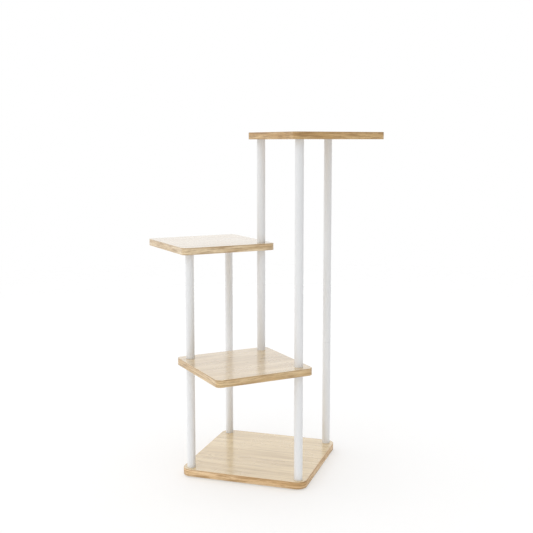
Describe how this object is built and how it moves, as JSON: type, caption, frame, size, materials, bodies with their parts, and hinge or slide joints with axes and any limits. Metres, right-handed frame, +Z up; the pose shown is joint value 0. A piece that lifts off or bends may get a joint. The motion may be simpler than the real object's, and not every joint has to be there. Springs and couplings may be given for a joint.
{
  "type": "tiered plant stand",
  "caption": "Free-standing tiered plant stand with a square base and staggered square shelves turned 45 degrees, clamped between round white posts.",
  "frame": {"origin": "on the floor, below the middle of the bounding box; the centre of the base is 64 mm behind it", "axes": "+X right, towards the top shelf; +Y back; +Z up; the lower shelf points to the front, -Y"},
  "size_m": [0.5712, 0.4432, 0.787],
  "materials": {
    "oak_laminate": "semi-gloss oak-look face on particle board",
    "oak_edge_band": "satin oak-look edge band",
    "white_powder_coat": "satin white powder coat on steel tube",
    "turned_steel": "bare turned steel",
    "zinc_plated_steel": "zinc plated",
    "brass": "turned brass",
    "pad_rubber": "matt black"
  },
  "bodies": {
    "root": {"back_left_end_plugs": "turned_steel", "back_left_tube": "white_powder_coat", "back_right_joint_stud": "zinc_plated_steel", "back_right_lower_end_plugs": "turned_steel", "back_right_lower_tube": "white_powder_coat", "back_right_upper_end_plugs": "turned_steel", "back_right_upper_tube": "white_powder_coat", "base_board": "oak_laminate", "base_bolts": "zinc_plated_steel", "base_edge_band": "oak_edge_band", "base_washers": "zinc_plated_steel", "centre_lower_end_plugs": "turned_steel", "centre_lower_tube": "white_powder_coat", "centre_upper_end_plugs": "turned_steel", "centre_upper_tube": "white_powder_coat", "foot_pads": "pad_rubber", "front_left_lower_end_plugs": "turned_steel", "front_left_lower_tube": "white_powder_coat", "front_left_upper_end_plugs": "turned_steel", "front_left_upper_tube": "white_powder_coat", "front_right_lower_end_plugs": "turned_steel", "front_right_lower_tube": "white_powder_coat", "front_right_upper_end_plugs": "turned_steel", "front_right_upper_tube": "white_powder_coat", "lower_shelf_board": "oak_laminate", "lower_shelf_bolt": "zinc_plated_steel", "lower_shelf_edge_band": "oak_edge_band", "lower_shelf_long_studs": "zinc_plated_steel", "lower_shelf_washer": "zinc_plated_steel", "middle_shelf_board": "oak_laminate", "middle_shelf_edge_band": "oak_edge_band", "middle_shelf_insert_nuts": "brass", "middle_shelf_long_stud": "zinc_plated_steel", "middle_shelf_short_studs": "zinc_plated_steel", "top_shelf_board": "oak_laminate", "top_shelf_edge_band": "oak_edge_band", "top_shelf_insert_nuts": "brass", "top_shelf_short_studs": "zinc_plated_steel"}
  },
  "joints": []
}
